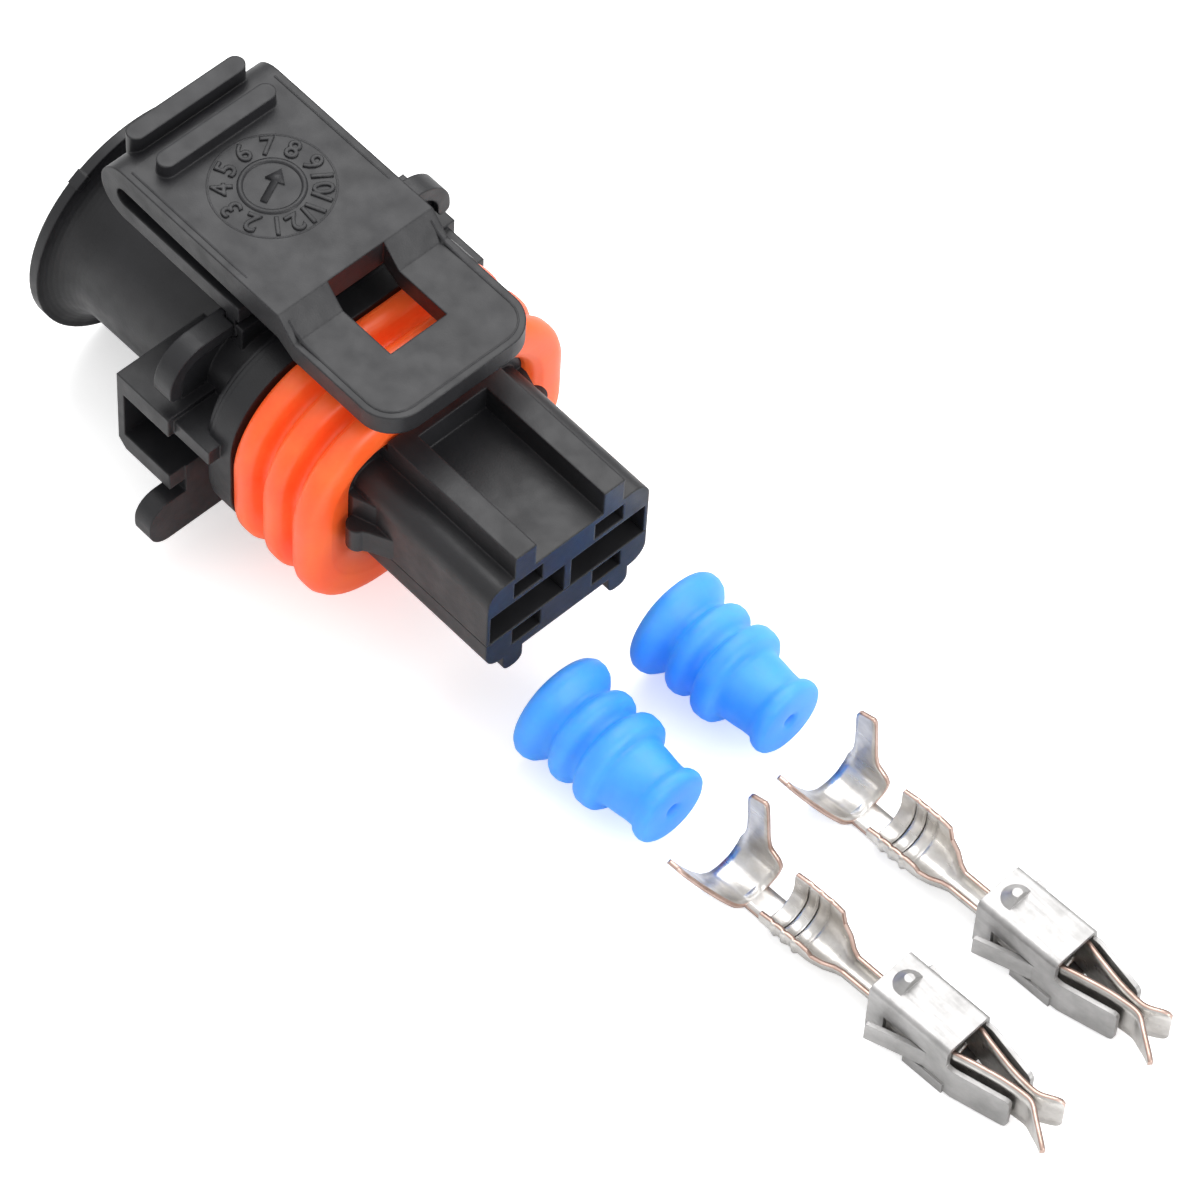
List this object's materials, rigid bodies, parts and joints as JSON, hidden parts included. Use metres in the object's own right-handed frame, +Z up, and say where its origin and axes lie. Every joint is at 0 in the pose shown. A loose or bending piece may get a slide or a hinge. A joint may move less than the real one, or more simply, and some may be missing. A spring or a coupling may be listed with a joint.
{
  "type": "sealed automotive connector",
  "caption": "Sealed plug connector laid out as a kit: black housing with latch lever, orange perimeter seal, blue wire seals and crimp spring contacts.",
  "frame": {"origin": "middle of the nose's front face, between the two contact mouths", "axes": "+X the way the connector mates, out of the nose; +Z up, towards the latch lever; +Y across, so the left contact is at -Y seen from above with +X to the front"},
  "size_m": [0.0643, 0.0204, 0.0187],
  "materials": {
    "housing_plastic": "moulded satin",
    "lock_plastic": "moulded satin",
    "seal_orange": "oily silicone",
    "seal_blue": "oily silicone",
    "tinned_contact": "tin-plated satin",
    "steel_cage": "satin"
  },
  "bodies": {
    "connector": {"housing": "housing_plastic", "perimeter_seal": "seal_orange", "wire_seal_left": "seal_blue", "wire_seal_right": "seal_blue", "terminal_left": "tinned_contact", "terminal_right": "tinned_contact", "spring_cage_left": "steel_cage", "spring_cage_right": "steel_cage"},
    "lever": {"latch_lever": "housing_plastic"},
    "lock": {"secondary_lock": "lock_plastic"}
  },
  "joints": [
    {"name": "lever_rock", "type": "hinge", "parent": "connector", "child": "lever", "pos_m": [-0.01805, 0, 0.00483], "axis": [0, -1, 0], "range_deg": [0, 8], "stiffness_Nm_per_rad": 0.02},
    {"name": "lock_slide", "type": "slide", "parent": "connector", "child": "lock", "axis": [0, 0, 1], "range_m": [-0.0008, 0]}
  ]
}
